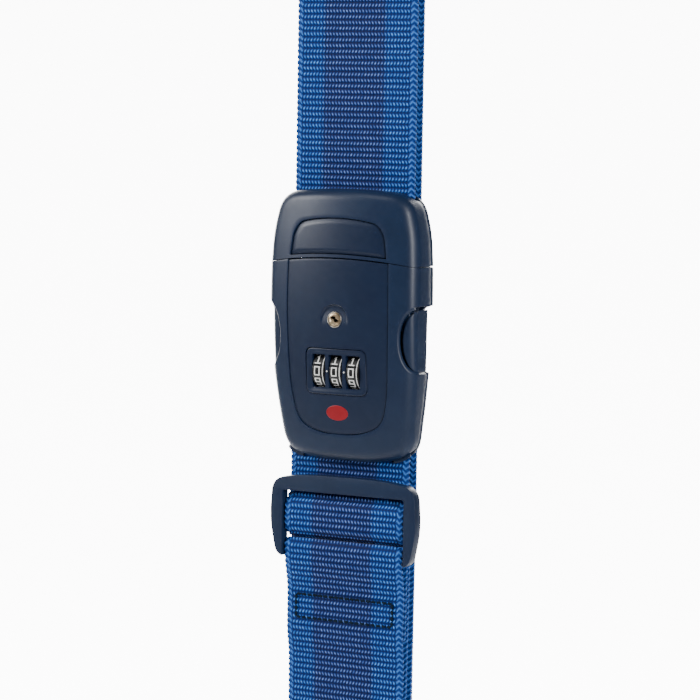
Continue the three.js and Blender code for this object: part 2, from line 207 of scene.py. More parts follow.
def webbing_material():
    """Ribbed webbing: rows of slanted yarns that lean left and right by turns, with a painted highlight at
    their crests, painted shade on the short floats between the rows, a darker stripe along the middle and a
    chained selvedge, its loops painted lighter as highlight and its gaps darker as shade."""
    n = Nodes("webbing_blue", (0.02, 0.1, 0.33), 0.6, Specular_IOR_Level=0.1)
    uv = n.node("SeparateXYZ")
    n.link(n.node("UVMap", uv_map="web").outputs["UV"], uv, "Vector")
    across, along = uv.outputs["X"], uv.outputs["Y"]  # in yarns across, and in ribs along
    in_rib = n.math("FRACT", along)
    row = n.math("SUBTRACT", along, in_rib)
    side = n.math("MULTIPLY_ADD", n.math("PINGPONG", row, 1.0), 2.0, -1.0)
    lean = n.math("MULTIPLY", side, n.math("SUBTRACT", in_rib, 0.5))
    yarn = n.math("MULTIPLY_ADD", lean, 0.62, across)
    wave = n.math("COSINE", n.math("MULTIPLY", yarn, 2 * math.pi))
    crest = n.math("SINE", n.math("MULTIPLY", in_rib, math.pi))
    dash = n.math("MULTIPLY", n.math("MULTIPLY_ADD", wave, 0.5, 0.5), n.math("POWER", crest, 1.6))
    wobble = n.noise(700, 2)
    dash = n.math("MULTIPLY", dash, n.math("MULTIPLY_ADD", wobble, 0.9, 0.5), clamp=True)
    # painted highlight and shade: each ramp makes the yarns lighter at the rib crests and darker in the
    # hollows between yarns and rows, over the stripe's own two tones
    bright = n.ramp(dash, (0.0, (0.0, 0.008, 0.07)), (0.3, (0.001, 0.035, 0.2)), (0.62, (0.012, 0.11, 0.42)),
                    (1.0, (0.12, 0.34, 0.8)))
    dull = n.ramp(dash, (0.0, (0.0, 0.004, 0.045)), (0.3, (0.004, 0.02, 0.11)), (0.62, (0.025, 0.065, 0.26)),
                  (1.0, (0.17, 0.27, 0.6)))
    centred = n.math("ABSOLUTE", n.math("ADD", across, STRIPE_OFF / DASH))
    blend = n.node("MapRange", interpolation_type="SMOOTHSTEP")
    n.link(centred, blend, "Value")
    n.set(blend, "From Min", STRIPE_IN / DASH)
    n.set(blend, "From Max", STRIPE_OUT / DASH)
    color = n.mix(blend.outputs[0], dull, bright)
    edge = n.math("SUBTRACT", n.math("ABSOLUTE", across), SELVEDGE / DASH)
    in_edge = n.math("GREATER_THAN", edge, 0.0)
    chain = n.math("ABSOLUTE", n.math("SUBTRACT", edge, 0.75))
    chain = n.math("COSINE", n.math("MULTIPLY", n.math("MULTIPLY_ADD", chain, 0.55, in_rib), 2 * math.pi))
    chain = n.math("MULTIPLY_ADD", chain, 0.5, 0.5)
    # painted highlight and shade: the selvedge's chain is painted lighter on its loops and darker in the gaps
    # between them
    selvedge = n.ramp(chain, (0.0, (0.0, 0.018, 0.12)), (0.6, (0.005, 0.055, 0.26)),
                      (1.0, (0.045, 0.16, 0.5)))
    n.link(n.mix(in_edge, color, selvedge), n.shader, "Base Color")
    n.set(n.shader, "Sheen Weight", 0.06)
    n.set(n.shader, "Sheen Roughness", 0.4)
    fibres = n.math("SINE", n.math("MULTIPLY", yarn, 10 * math.pi))
    height = n.math("MULTIPLY_ADD", fibres, 0.06, n.mix(in_edge, dash, chain))
    return n.finish_normal(n.bump(height, 0.28 * MM, 0.9))


def thread_material():
    n = Nodes("stitch_thread", (0.003, 0.008, 0.02), 0.8, Specular_IOR_Level=0.1)
    twist = n.noise(3000, 2)
    n.link(n.ramp(twist, (0.3, (0.0, 0.003, 0.009)), (0.7, (0.003, 0.014, 0.03))), n.shader, "Base Color")
    return n.finish_normal(n.bump(twist, 0.05 * MM, 0.6))


NAVY = moulded("navy_nylon", (0.0045, 0.0125, 0.036), (0.006, 0.0158, 0.043), 0.4, 0.05)
SMOOTH = moulded("navy_satin", (0.0036, 0.0098, 0.03), (0.0045, 0.0118, 0.034), 0.38, 0.03)
BLACK = moulded("black_nylon", (0.006, 0.006, 0.007), (0.01, 0.01, 0.011), 0.34, 0.03)
PAINT = moulded("white_paint", (0.72, 0.72, 0.7), (0.8, 0.8, 0.78), 0.5, 0.02)
RED = moulded("red_enamel", (0.22, 0.003, 0.008), (0.28, 0.006, 0.012), 0.4, 0.01, 700)
STEEL = metal("turned_steel", (0.62, 0.6, 0.57), 0.3)
BRASS = metal("brushed_brass", (0.52, 0.41, 0.27), 0.3)
# painted shade: a near-black finish standing in for the shade deep in the keyway
KEYWAY_SHADE = Nodes("dark_keyway", (0.004, 0.004, 0.004), 0.8).material
WEB = webbing_material()
THREAD = thread_material()


# ---- making and placing pieces ----
def settle(mesh, merge=0.0, flatten=0.0):
    """Merges double vertices and joins flat faces where asked, and turns all faces outwards."""
    bm = bmesh.new()
    bm.from_mesh(mesh)
    if merge:
        bmesh.ops.remove_doubles(bm, verts=bm.verts, dist=merge)
    if flatten:
        bmesh.ops.dissolve_limit(bm, angle_limit=math.radians(flatten), verts=bm.verts, edges=bm.edges)
    bmesh.ops.recalc_face_normals(bm, faces=bm.faces)
    bm.to_mesh(mesh)
    bm.free()


def columns_to_faces(rows, count, closed=True, ring=False):
    """Faces between neighbouring columns of points; a ring column joins its last point to its first."""
    faces = []
    for i in range(count if closed else count - 1):
        j = (i + 1) % count
        for k in range(rows if ring else rows - 1):
            n = (k + 1) % rows
            faces.append((i * rows + k, j * rows + k, j * rows + n, i * rows + n))
    return faces


def new_object(name, verts, faces, material):
    """verts in millimetres."""
    mesh = bpy.data.meshes.new(name)
    mesh.from_pydata([(x * MM, y * MM, z * MM) for x, y, z in verts], [], faces)
    mesh.validate()
    made = bpy.data.objects.new(name, mesh)
    bpy.context.collection.objects.link(made)
    settle(mesh, merge=1e-7)
    for polygon in mesh.polygons:
        polygon.use_smooth = True
    mesh.materials.append(material)
    return made


def apply_modifiers(piece):
    view = bpy.context.evaluated_depsgraph_get()
    mesh = bpy.data.meshes.new_from_object(piece.evaluated_get(view))
    piece.modifiers.clear()
    piece.data = mesh
    return piece


def bevel(piece, width, segments=2, angle=35):
    made = piece.modifiers.new("bevel", "BEVEL")
    made.width = width * MM
    made.segments = segments
    made.limit_method = "ANGLE"
    made.angle_limit = math.radians(angle)
    made.harden_normals = False
    return apply_modifiers(piece)


def sharp_by_angle(piece, angle=40):
    bm = bmesh.new()
    bm.from_mesh(piece.data)
    for e in bm.edges:
        if len(e.link_faces) == 2:
            e.smooth = e.calc_face_angle(0) < math.radians(angle)
    bm.to_mesh(piece.data)
    bm.free()
    return piece


def place(piece, body, slot, *nodes):
    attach(piece, body)
    if nodes:
        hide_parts(*nodes)
    return piece


# ---- webbing ----
def fold(y0, y1, z, over, steps=14):
    """Points [y, z] on a half circle from layer y0 to layer y1."""
    radius = abs(y1 - y0) / 2
    sign = 1 if y1 > y0 else -1
    turn = [math.pi * i / steps for i in range(steps + 1)]
    return [((y0 + y1) / 2 - sign * radius * math.cos(t), z + over * radius * math.sin(t)) for t in turn]


def spline(points, steps=12):
    """A smooth run through given points."""
    out = []
    for i in range(len(points) - 1):
        a = points[max(i - 1, 0)]
        b, c = points[i], points[i + 1]
        d = points[min(i + 2, len(points) - 1)]
        for k in range(steps):
            t = k / steps
            out.append(tuple(
                0.5 * (2 * b[j] + (c[j] - a[j]) * t + (2 * a[j] - 5 * b[j] + 4 * c[j] - d[j]) * t * t
                       + (3 * b[j] - a[j] - 3 * c[j] + d[j]) * t ** 3) for j in (0, 1)))
    return out + [points[-1]]


def resample(path, step):
    """The path at even steps of length, and its whole length."""
    lengths = [0.0]
    for (y0, z0), (y1, z1) in zip(path, path[1:]):
        lengths.append(lengths[-1] + math.hypot(y1 - y0, z1 - z0))
    total = lengths[-1]
    count = max(int(round(total / step)), 2)
    out, j = [], 0
    for i in range(count + 1):
        s = total * i / count
        while j < len(path) - 2 and lengths[j + 1] < s:
            j += 1
        span = max(lengths[j + 1] - lengths[j], 1e-9)
        t = (s - lengths[j]) / span
        out.append(tuple(a + (b - a) * t for a, b in zip(path[j], path[j + 1])))
    return out, total


def twist(x, y, z):
    """The strap turns a little about its own length below the slider."""
    angle = math.radians(-4.0) * smoothstep(50, 168, -z)
    return x * math.cos(angle) - y * math.sin(angle), x * math.sin(angle) + y * math.cos(angle), z


def web_section(columns):
    """Places round the webbing's section: (across -1..1, face -1..1), with round selvedges."""
    half = [1.0, 0.99, 0.965, 0.93] + [0.86 * (1 - 2 * i / columns) for i in range(columns // 2)]
    front = [(-a, 1.0) for a in half] + [(0.0, 1.0)] + [(a, 1.0) for a in reversed(half)]
    return front + [(a, -1.0) for a, _ in reversed(front)]


def webbing(name, path, first_rib=0.0, columns=14, per_rib=6):
    """One stretch of webbing along a path of [y, z], with its ribs as real relief."""
    points, total = resample(path, RIB / per_rib)
    section = web_section(columns)
    verts, faces, uvs = [], [], []
    for i, (y, z) in enumerate(points):
        y0, z0 = points[max(i - 1, 0)]
        y1, z1 = points[min(i + 1, len(points) - 1)]
        size = math.hypot(y1 - y0, z1 - z0)
        ny, nz = -(z1 - z0) / size, (y1 - y0) / size
        ribs = first_rib + (total * i / (len(points) - 1)) / RIB
        relief = abs(math.sin(math.pi * ribs)) ** 0.7
        shift = -STAGGER * max(y - FIRST, 0)
        for a, face in section:
            edge = smoothstep(0.92, 1.0, abs(a))
            half = WEB_T / 2 * (1 - 0.42 * edge) - 0.17 * (1 - relief) * (1 - 0.4 * edge)
            wide = WEB_W / 2 - 0.5 + 0.45 * relief
            verts.append(twist(shift + a * wide, y + face * half * ny, z + face * half * nz))
            uvs.append((a * WEB_W / 2 / DASH, ribs))
    ring = len(section)
    for i in range(len(points) - 1):
        for j in range(ring):
            k = (j + 1) % ring
            faces.append((i * ring + j, i * ring + k, (i + 1) * ring + k, (i + 1) * ring + j))
    faces.append(tuple(range(ring)))
    faces.append(tuple((len(points) - 1) * ring + j for j in reversed(range(ring))))
    mesh = bpy.data.meshes.new(name)
    mesh.from_pydata([(x * MM, y * MM, z * MM) for x, y, z in verts], [], faces)
    layer = mesh.uv_layers.new(name="web")
    for loop in mesh.loops:
        layer.data[loop.index].uv = uvs[loop.vertex_index]
    made = bpy.data.objects.new(name, mesh)
    bpy.context.collection.objects.link(made)
    settle(mesh)
    for polygon in mesh.polygons:
        polygon.use_smooth = len(polygon.vertices) == 4
    mesh.materials.append(WEB)
    return made, first_rib + total / RIB, total


def layer_y(i):
    return FIRST + PITCH * i


HANK_TOP, HANK_BOTTOM, OUTER_BOTTOM = 157.0, -165.0, -168.0
BAR_Y, BAR_Z = -6.5, 42.0  # the plug's web bar
LOW_Y, LOW_HALF, LOW_TOP = -6.5, 0.9, -74.9  # the slider's middle bar: depth, half thickness, top
RUN_TOP, RUN_BOTTOM, LAST_TOP, LAST_BOTTOM = 100, -60, -10, -112  # ends of the two runs that bend


def make_webbing():
    eye = FRONT - BAR_Y
    upper = [(BAR_Y - eye, BAR_Z + 7)] + fold(BAR_Y - eye, FRONT, BAR_Z, -1)
    upper += fold(FRONT, FIRST, HANK_TOP + 2, 1) + [(FIRST, RUN_TOP)]

    def stretch(name, path, ribs, **more):
        piece, ribs, total = webbing(name, path, ribs, **more)
        return piece, ribs

    piece, ribs = stretch("strap_upper_run", upper, 0.0)
    place(piece, "plug", "webbing", "upper_webbing")
    piece, ribs = stretch("strap_back_run", [(FIRST, RUN_TOP), (FIRST, RUN_BOTTOM)], ribs)
    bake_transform(piece)
    stored = [(FIRST, RUN_BOTTOM)]
    for i in range(4):
        stored += fold(layer_y(i), layer_y(i + 1), HANK_TOP if i % 2 else HANK_BOTTOM, 1 if i % 2 else -1, 8)
    stored += [(layer_y(4), LAST_TOP)]
    piece, ribs = stretch("strap_folded_length", stored, ribs, columns=8, per_rib=4)
    place(piece, "lock", "webbing", "stored_webbing")
    piece, ribs = stretch("strap_last_run", [(layer_y(4), LAST_TOP), (layer_y(4), LAST_BOTTOM)], ribs)
    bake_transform(piece)
    wrap = LOW_HALF + 0.3 + WEB_T / 2
    lower = [(layer_y(4), LAST_BOTTOM)] + fold(layer_y(4), LOWER, OUTER_BOTTOM, -1, 24)
    lower += spline([(LOWER, -122), (LOWER - 0.2, -116), (SEWN_FRONT, -107), (SEWN_FRONT, -92),
                     (LOW_Y - wrap + 0.3, -82), (LOW_Y - wrap, -77)])
    lower += fold(LOW_Y - wrap, LOW_Y + wrap, LOW_TOP - 0.6, 1) + [(SEWN_BACK, -84), (SEWN_BACK, -108)]
    piece, _ = stretch("strap_sewn_end", lower, ribs)
    place(piece, "slider", "webbing", "main_strap_end")
    loop = spline([(LOOP_Y, -19), (LOOP_Y, -30), (LOOP_Y, -44), (LOOP_Y, -52), (-4.5, -55), (-6.6, -57.6),
                   (-8.2, -60.2), (-8.5, -62.4), (-8.6, -66), (-8.1, -69.2), (-5.8, -71.5), (-3.5, -73),
                   (TAIL, -76), (TAIL, -79), (TAIL, -110), (TAIL, -148)])
    piece, _ = stretch("slider_loop", loop, 0.0)
    place(piece, "slider", "webbing", "slider_loop_webbing")


def capsule_chain(name, points, radius, sides=8):
    """Short round-ended threads between pairs of points."""
    verts, faces = [], []
    profile = [(0.0, 0.35), (0.12, 0.85), (0.3, 1.0), (0.7, 1.0), (0.88, 0.85), (1.0, 0.35)]
    for a, b in points:
        a, b = Vector(a), Vector(b)
        along = (b - a).normalized()
        u = along.cross(Vector((0, 1, 0))).normalized()
        v = along.cross(u)
        base = len(verts)
        for t, r in profile:
            middle = a.lerp(b, t) + Vector((0, 1, 0)) * radius * 0.7 * (abs(2 * t - 1) ** 2)
            for k in range(sides):
                turn = 2 * math.pi * k / sides
                verts.append(middle + (u * math.cos(turn) + v * math.sin(turn)) * radius * r)
        for i in range(len(profile) - 1):
            for k in range(sides):
                m = (k + 1) % sides
                faces.append((base + i * sides + k, base + i * sides + m,
                              base + (i + 1) * sides + m, base + (i + 1) * sides + k))
        faces.append(tuple(base + k for k in range(sides)))
        faces.append(tuple(base + (len(profile) - 1) * sides + k for k in reversed(range(sides))))
    return new_object(name, verts, faces, THREAD)


def make_stitching():
    half, top, bottom, pitch = 20.6, -94.1, -102.8, 2.35
    y = SEWN_FRONT - WEB_T / 2 - 0.12
    loop = [(-half, top), (half, top), (half, bottom), (-half, bottom), (-half, top)]
    threads = []
    for (x0, z0), (x1, z1) in zip(loop, loop[1:]):
        count = max(int(round(math.hypot(x1 - x0, z1 - z0) / pitch)), 1)
        for i in range(count):
            ends = [(x0 + (x1 - x0) * (i + t) / count, z0 + (z1 - z0) * (i + t) / count)
                    for t in (0.06, 0.94)]
            threads.append([twist(x, y, z) for x, z in ends])
    place(capsule_chain("box_stitch_threads", threads, 0.5), "slider", "thread", "box_stitching")


# ---- outlines in X and Z, clockwise seen from the front ----
def mirrored(half):
    return half + [(-x, z, r) for x, z, r in reversed(half)]


def flipped(points):
    """The same points on the other side, in the opposite order."""
    return [Vector((-p.x, p.y)) for p in reversed(points)]


def rounded(corners, steps=7, closed=True):
    """A polygon's corners (x, z, reach) rounded with short curves."""
    out = []
    count = len(corners)
    for i, (x, z, reach) in enumerate(corners):
        here = Vector((x, z))
        if not closed and i in (0, count - 1):
            out.append(here)
            continue
        before, after = Vector(corners[i - 1][:2]), Vector(corners[(i + 1) % count][:2])
        a = here + (before - here).normalized() * min(reach, 0.49 * (before - here).length)
        b = here + (after - here).normalized() * min(reach, 0.49 * (after - here).length)
        for k in range(steps + 1):
            t = k / steps
            out.append(a * (1 - t) ** 2 + here * 2 * t * (1 - t) + b * t * t)
    return out


def even(line, step, closed=True):
    """The line again, with points at even steps."""
    line = line + [line[0]] if closed else line
    lengths = [0.0]
    for a, b in zip(line, line[1:]):
        lengths.append(lengths[-1] + (b - a).length)
    count = max(int(round(lengths[-1] / step)), 4)
    out, j = [], 0
    for i in range(count if closed else count + 1):
        s = lengths[-1] * i / count
        while j < len(line) - 2 and lengths[j + 1] < s:
            j += 1
        t = (s - lengths[j]) / max(lengths[j + 1] - lengths[j], 1e-9)
        out.append(line[j].lerp(line[j + 1], t))
    return out


def seam_corners(places, offset):
    return [(x, seam_z(x) + offset, 3) for x in places]


# half outlines: (x, z, reach of the corner's rounding)
LOCK_SIDE = [(SEAM_HALF, SEAM - GAP, 0.6), (HALF, 10, 8), (29.7, -14, 10), (26.6, -39.6, 7), (14, BOTTOM, 8)]
PLUG_SIDE = [(10, TOP, 8), (26.8, TOP - 1.6, 8), (30.4, TOP - 16, 5), (SEAM_HALF, SEAM + GAP, 0.6)]
PANEL_SIDE = [(PANEL_HALF, seam_z(PANEL_HALF) - 0.15, 0.3), (21.4, 12, 12), (20.5, -16, 8),
              (17.8, -28.6, 6), (8, PANEL_BOTTOM, 8)]
INSET = [(6, 47.4, 6), (16.4, 45.6, 3), (19.2, 41, 2), (20.2, seam_z(20.2) + 1.3, 0.5)]
INSET += seam_corners((12, 4), 1.3)


def distance_to(line):
    """A function giving how far a point is from a line."""
    starts = np.array([tuple(p) for p in line[:-1]])
    spans = np.array([tuple(p) for p in line[1:]]) - starts
    squares = (spans ** 2).sum(1) + 1e-12

    def measure(x, z):
        away = np.array((x, z)) - starts
        t = np.clip((away * spans).sum(1) / squares, 0, 1)
        return float(np.sqrt(((away - spans * t[:, None]) ** 2).sum(1).min()))
    return measure


def fillet(distance, radius):
    """How far a rounded edge has fallen, at a distance from the edge."""
    inside = max(radius - distance, 0)
    return radius - math.sqrt(max(radius * radius - inside * inside, 0))


SHELL = 1.1  # thickness of the covers
EDGE_R = 3.6  # the rounding between face and side
EDGE_STEPS = (0, 0.06, 0.22, 0.5, 0.85, 1.3, 1.8, 2.4, 3.1, 4.0)  # where its rows lie, from the edge


def cover(name, outer, inner, height, wall_back, closed, lift):
    """A shell: side wall, rounded edge and crowned face, running in to an opening."""
    verts = []
    wall_rows, face_rows = 3, 5
    rows = len(EDGE_STEPS) + face_rows + wall_rows
    for p in outer:
        aim = p + Vector((0, lift(p.x, p.y)))
        q = min(inner, key=lambda m: (m - aim).length)
        span = (q - p).length
        fold_at = [min(d, span * 0.8) / span for d in EDGE_STEPS]
        last = fold_at[-1]
        places = fold_at + [last + (1 - last) * k / face_rows for k in range(1, face_rows + 1)]
        top = height(p.x, p.y)
        back = wall_back(p.x, p.y, top)
        for k in range(wall_rows):
            verts.append((p.x, back + (top - back) * k / wall_rows, p.y))
        for t in places:
            here = p.lerp(q, t)
            verts.append((here.x, height(here.x, here.y), here.y))
    piece = new_object(name, verts, columns_to_faces(rows, len(outer), closed), NAVY)
    front = sum((f.normal.y for f in piece.data.polygons if abs(f.normal.y) > 0.8), 0.0)
    if front > 0:
        piece.data.flip_normals()
    shell = piece.modifiers.new("shell", "SOLIDIFY")
    shell.thickness = SHELL * MM
    shell.offset = -1
    return apply_modifiers(piece)


def subtract(piece, cutter):
    made = piece.modifiers.new("cut", "BOOLEAN")
    made.object = cutter
    made.operation = "DIFFERENCE"
    made.solver = "EXACT"
    apply_modifiers(piece)
    mesh = cutter.data
    bpy.data.objects.remove(cutter)
    bpy.data.meshes.remove(mesh)
    return piece


def prism(line, front, back, name="cutter", material=NAVY):
    """A closed outline made solid from front to back."""
    count = len(line)
    verts = [(p[0], front, p[1]) for p in line] + [(p[0], back, p[1]) for p in line]
    faces = [(i, (i + 1) % count, count + (i + 1) % count, count + i) for i in range(count)]
    faces += [tuple(range(count)), tuple(range(2 * count - 1, count - 1, -1))]
    return new_object(name, verts, faces, material)


def ellipse(x, z, a, b, count=64):
    turn = [2 * math.pi * i / count for i in range(count)]
    return [Vector((x + a * math.cos(t), z - b * math.sin(t))) for t in turn]


def plate(name, line, height, back, radius, material, centre=None, near=(), rings=9):
    """A plate with a rounded front edge; its face runs in rings to a centre, or to a round hole whose
    nearest rings are listed by their distance from the centre."""
    centre = centre or sum(line, Vector((0, 0))) / len(line)
    verts = []
    arc = [math.pi / 2 * k / 5 for k in range(6)]
    outermost = near[-1] if near else 0.0
    rows = 1 + len(arc) + rings + max(len(near) - 1, 0)
    count = len(line)
    for i, p in enumerate(line):
        tangent = (line[(i + 1) % count] - line[i - 1]).normalized()
        inward = Vector((tangent.y, -tangent.x))
        verts.append((p.x, back(p.x, p.y), p.y))
        for t in arc:
            here = p + inward * radius * (1 - math.cos(t))
            verts.append((here.x, height(here.x, here.y) + radius * (1 - math.sin(t)), here.y))
        start = p + inward * radius
        reach = (start - centre).length
        for k in range(1, rings + 1):
            t = 1 - k / rings
            here = centre + (start - centre) * (outermost / reach + (1 - outermost / reach) * t)
            verts.append((here.x, height(here.x, here.y), here.y))
        for away in reversed(near[:-1]):
            here = centre + (start - centre) * away / reach
            verts.append((here.x, height(here.x, here.y), here.y))
    faces = columns_to_faces(rows, count)
    if near:
        base = len(verts)
        for i in range(count):
            x, y, z = verts[i * rows + rows - 1]
            verts.append((x, verts[i * rows][1], z))
        for i in range(count):
            j = (i + 1) % count
            faces.append((i * rows + rows - 1, j * rows + rows - 1, base + j, base + i))
            faces.append((base + i, base + j, j * rows, i * rows))
    else:
        faces.append(tuple(i * rows for i in range(count)))
    piece = new_object(name, verts, faces, material)
    return sharp_by_angle(piece, 50)


def rounded_copy(name, node, width, material, segments=3):
    """A piece with the shape of a frame node and softened edges."""
    source = bpy.data.objects[node]
    verts = [tuple(c / MM for c in source.matrix_world @ v.co) for v in source.data.vertices]
    faces = [tuple(p.vertices) for p in source.data.polygons]
    piece = new_object(name, verts, faces, material)
    settle(piece.data, merge=2e-6, flatten=1.5)
    bevel(piece, width, segments, 32)
    return sharp_by_angle(piece, 30)


# ---- the buckle ----
def make_case():
    # the edge lines run on past the seam, so that the rounding doesn't turn in along it
    lock_half = rounded([(SEAM_HALF, 40, 0.1)] + LOCK_SIDE + [(0, BOTTOM, 1)], closed=False)
    lock_line = lock_half + flipped(lock_half[:-1])
    past_seam = [(SEAM_HALF, SEAM + GAP, 0.1), (SEAM_HALF, 20, 0.1)]
    plug_half = rounded([(0, TOP, 1)] + PLUG_SIDE[:-1] + past_seam, closed=False)
    plug_line = flipped(plug_half[1:]) + plug_half
    lock_edge, plug_edge = distance_to(lock_line), distance_to(plug_line)
    recess = [ellipse(side * RECESS_X, RECESS_Z, RECESS_A, RECESS_B) for side in (-1, 1)]

    def lock_y(x, z):
        return crown(x, z) + fillet(lock_edge(x, z), EDGE_R)

    def plug_y(x, z):
        return crown(x, z) + fillet(plug_edge(x, z), EDGE_R)

    half = rounded(LOCK_SIDE + [(0, BOTTOM, 1)], closed=False)
    outer = even(half + flipped(half[:-1]), 0.7, closed=False)
    half = rounded(PANEL_SIDE + [(0, PANEL_BOTTOM, 1)], closed=False)
    inner = even(half + flipped(half[:-1]), 0.25, closed=False)

    def lock_back(x, z, _):
        return BACK - (5.8 + BACK) * smoothstep(26.6, 24.6, abs(x)) * smoothstep(-30, -34, z)

    def lock_lift(x, z):
        return (seam_z(PANEL_HALF) - seam_z(SEAM_HALF)) * smoothstep(22, 29.8, z)

    case = cover("lock_cover", outer, inner, lock_y, lock_back, False, lock_lift)
    bevel(case, 0.2, 2, 50)
    for line in recess:
        subtract(case, prism(line, FAR_FRONT, 0))
    place(sharp_by_angle(case, 35), "lock", "navy_plastic", "lock_front_cover")
    make_recess_lip(-1, lock_y)
    make_recess_lip(1, lock_y)

    outer = even(rounded(mirrored(PLUG_SIDE + seam_corners((25, 19, 12, 4), 0.15))), 0.7)
    inner = even(rounded(mirrored(INSET)), 0.25)

    def plug_back(x, z, top):
        if z < 33.5 and abs(x) < 28.6:
            return top + 1.3
        return BACK - (5.2 + BACK) * smoothstep(26.6, 24.6, abs(x)) * smoothstep(48, 52, z)

    case = cover("plug_cover", outer, inner, plug_y, plug_back, True, lambda x, z: 0)
    bevel(case, 0.2, 2, 50)
    place(sharp_by_angle(case, 35), "plug", "navy_plastic", "plug_front_cover")


def make_recess_lip(side, height):
    """The rounded rim that runs down into a finger recess, above the pad."""
    profile = [(0.0, 0.0), (0.12, 0.03), (0.35, 0.16), (0.6, 0.42), (0.85, 0.85), (1.0, 1.3), (0.9, 1.4),
               (0.0, 1.4)]
    centre = Vector((RECESS_X, RECESS_Z))
    rim = [p for p in ellipse(RECESS_X, RECESS_Z, RECESS_A, RECESS_B, 220) if p.x <= LIP_END]
    verts = []
    for p in rim:
        inward = (centre - p).normalized()
        for step, depth in profile:
            here = p + inward * step
            verts.append((side * here.x, height(p.x, p.y) + 0.02 + depth, here.y))
    name = "left_recess_lip" if side < 0 else "right_recess_lip"
    faces = columns_to_faces(len(profile), len(rim), closed=False)
    place(new_object(name, verts, faces, NAVY), "lock", "navy_plastic")


# rows of the panel's face round the key, close together at the rim of the shallow dish
DISH_RINGS = (KEY_RING, 3.8, 4.5, 4.9, 5.1, 5.25, 5.4, 5.55, 5.7, 5.85, 6.0, 6.2, 6.6, 7.4, 9.0)


def make_panel():
    top = [(x, seam_z(x) - 0.3, 3) for x in (4, 12)]
    line = even(rounded(mirrored(top + [(PANEL_HALF - 0.15, seam_z(PANEL_HALF) - 0.3, 0.5)]
                                 + [(x - 0.15, z + 0.1, r) for x, z, r in PANEL_SIDE[1:]])), 0.7)

    def panel_y(x, z):
        away = math.hypot(x, z - KEY_Z)
        dish = 0.95 * (1 - smoothstep(5.0, 5.9, away)) * smoothstep(-2.5, 4.5, z - KEY_Z)
        return crown(x, z) + 0.4 + dish

    def panel_back(x, z):
        return crown(x, z) + 2.0

    panel = plate("lock_panel", line, panel_y, panel_back, 0.3, SMOOTH, Vector((0, KEY_Z)), DISH_RINGS, 20)
    grown = even(rounded(mirrored([(BEZEL_HALF + 0.15, DIAL_Z + BEZEL_HIGH + 0.15, 3),
                                   (BEZEL_HALF + 0.15, DIAL_Z - BEZEL_HIGH - 0.15, 3)])), 0.8)
    subtract(panel, prism(grown, FAR_FRONT, -2))
    place(sharp_by_angle(panel, 35), "lock", "smooth_plastic", "lock_face_panel")

    shrunk = [(x - 0.2, z - 0.2, r) for x, z, r in INSET[:3]]
    shrunk += [(x - (0.2 if x > 19 else 0), z + 0.2, r) for x, z, r in INSET[3:]]
    inset = even(rounded(mirrored(shrunk)), 0.6)
    edge = distance_to(inset + [inset[0]])

    def inset_y(x, z):
        return crown(x, z) + 0.25 + 0.5 * (1 - smoothstep(0, 1.8, edge(x, z)))

    plaque = plate("plug_plaque", inset, inset_y, lambda x, z: crown(x, z) + 2.2, 0.25, SMOOTH, rings=16)
    place(plaque, "plug", "smooth_plastic", "plug_inset_plate")

    badge = plate("red_badge", ellipse(0, -24.3, 4.6, 2.9), lambda x, z: crown(x, z) + 0.3,
                  lambda x, z: crown(x, z) + 1.6, 0.25, RED)
    place(badge, "lock", "badge", "badge_inlay")


def make_bezel():
    ends = [(BEZEL_HALF, DIAL_Z + BEZEL_HIGH, 3), (BEZEL_HALF, DIAL_Z - BEZEL_HIGH, 3)]
    line = even(rounded(mirrored(ends)), 0.5)
    edge = distance_to(line + [line[0]])

    def bezel_y(x, z):
        tilt = 0.42 * (z - DIAL_Z) / BEZEL_HIGH
        return crown(x, z) + 0.3 + tilt + 0.3 * smoothstep(0.8, 2.0, edge(x, z))

    bezel = plate("dial_frame", line, bezel_y, lambda x, z: crown(x, z) + 2.6, 0.5, SMOOTH, rings=14)
    for i in range(3):
        x = (i - 1) * DIAL_PITCH
        window = [(x + sx * WINDOW_HALF, DIAL_Z + sz * WINDOW_HIGH, 0.5)
                  for sx, sz in ((-1, 1), (1, 1), (1, -1), (-1, -1))]
        subtract(bezel, prism(rounded(window, 3), FAR_FRONT, -2))
    bevel(bezel, 0.16, 2, 40)
    place(sharp_by_angle(bezel, 35), "lock", "black_plastic", "dial_bezel")
    marks = []
    for x in (-0.5 * DIAL_PITCH, 0.5 * DIAL_PITCH):
        y = crown(x, DIAL_Z) + 0.6
        marks.append(((x, y, DIAL_Z - 0.35), (x, y, DIAL_Z + 0.35)))
    index = capsule_chain("dial_index_marks", marks, 0.28)
    index.data.materials[0] = PAINT
    place(index, "lock", "black_plastic")


# Segments of a digit, in a box 2 wide and 4 high: (x0, z0, x1, z1).
SEGMENTS = {"a": (-1, 2, 1, 2), "b": (1, 2, 1, 0), "c": (1, 0, 1, -2), "d": (-1, -2, 1, -2),
            "e": (-1, 0, -1, -2), "f": (-1, 2, -1, 0), "g": (-1, 0, 1, 0), "h": (0, 2, 0, -2),
            "i": (-0.6, 1.5, 0, 2)}
DIGITS = ("abcdef", "hdi", "abged", "abgcd", "fgbc", "afgcd", "afgcde", "abc", "abcdefg", "abfgcd")


